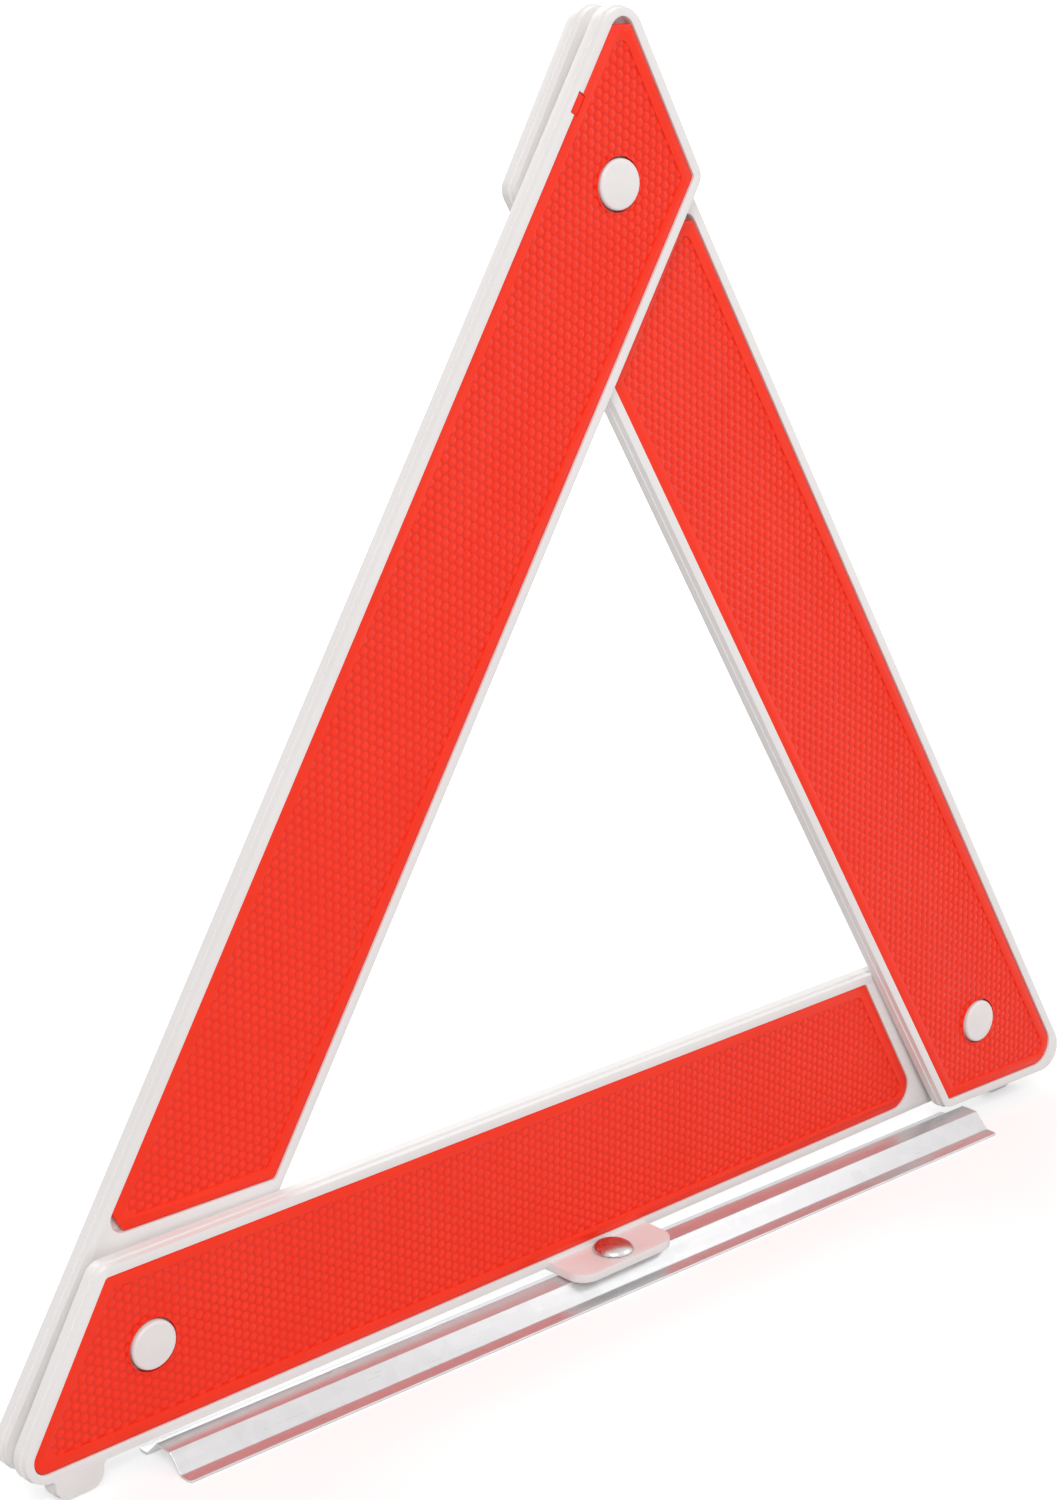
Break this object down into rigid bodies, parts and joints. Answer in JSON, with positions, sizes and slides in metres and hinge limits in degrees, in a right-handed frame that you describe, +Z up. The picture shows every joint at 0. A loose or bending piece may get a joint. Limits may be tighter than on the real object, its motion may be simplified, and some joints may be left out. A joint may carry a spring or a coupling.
{
  "type": "warning triangle",
  "caption": "Folding roadside warning triangle: white plastic arms with red honeycomb reflectors lap over each other on pivot pins, above a swivelling galvanised steel stand",
  "frame": {"origin": "middle of the bounding box seen from above, on the ground", "axes": "+X along the bottom arm from its head to its tail, +Y from the front (reflector side) to the rear, +Z up"},
  "size_m": [0.4154, 0.0286, 0.3686],
  "materials": {
    "white_plastic": "satin moulded white plastic",
    "cap_plastic": "smooth white plastic",
    "red_lens": "glossy red reflector plastic with a honeycomb of small domes",
    "galvanised_steel": "bright galvanised sheet",
    "rivet_steel": "bright plated steel",
    "retainer_steel": "plain plated steel"
  },
  "bodies": {
    "bottom_arm": {"bottom_arm_frame": "white_plastic", "bottom_reflector": "red_lens", "lower_left_pivot_pin": "cap_plastic", "lower_left_retainer": "retainer_steel", "stand_rivet": "rivet_steel"},
    "left_arm": {"left_arm_frame": "white_plastic", "left_reflector": "red_lens", "top_pivot_pin": "cap_plastic", "top_retainer": "retainer_steel"},
    "right_arm": {"right_arm_frame": "white_plastic", "right_reflector": "red_lens", "latch_peg": "cap_plastic"},
    "stand": {"stand_plate": "galvanised_steel", "stand_washer": "retainer_steel"}
  },
  "joints": [
    {"name": "left_fold", "type": "hinge", "parent": "bottom_arm", "child": "left_arm", "pos_m": [-0.16592, 0.00073, 0.0342], "axis": [-0.023, 0.9989, 0.0399], "range_deg": [0, 60]},
    {"name": "right_fold", "type": "hinge", "parent": "left_arm", "child": "right_arm", "pos_m": [0.00002, 0.00073, 0.3216], "axis": [0.0461, 0.9989, 0], "range_deg": [-300, 0]},
    {"name": "stand_swivel", "type": "hinge", "parent": "bottom_arm", "child": "stand", "pos_m": [-0.00383, -0.00234, 0.0342], "axis": [0, 0, 1], "range_deg": [-90, 90]}
  ],
  "couplings": [
    {"joint": "right_fold", "follows": "left_fold", "ratio": -5}
  ]
}
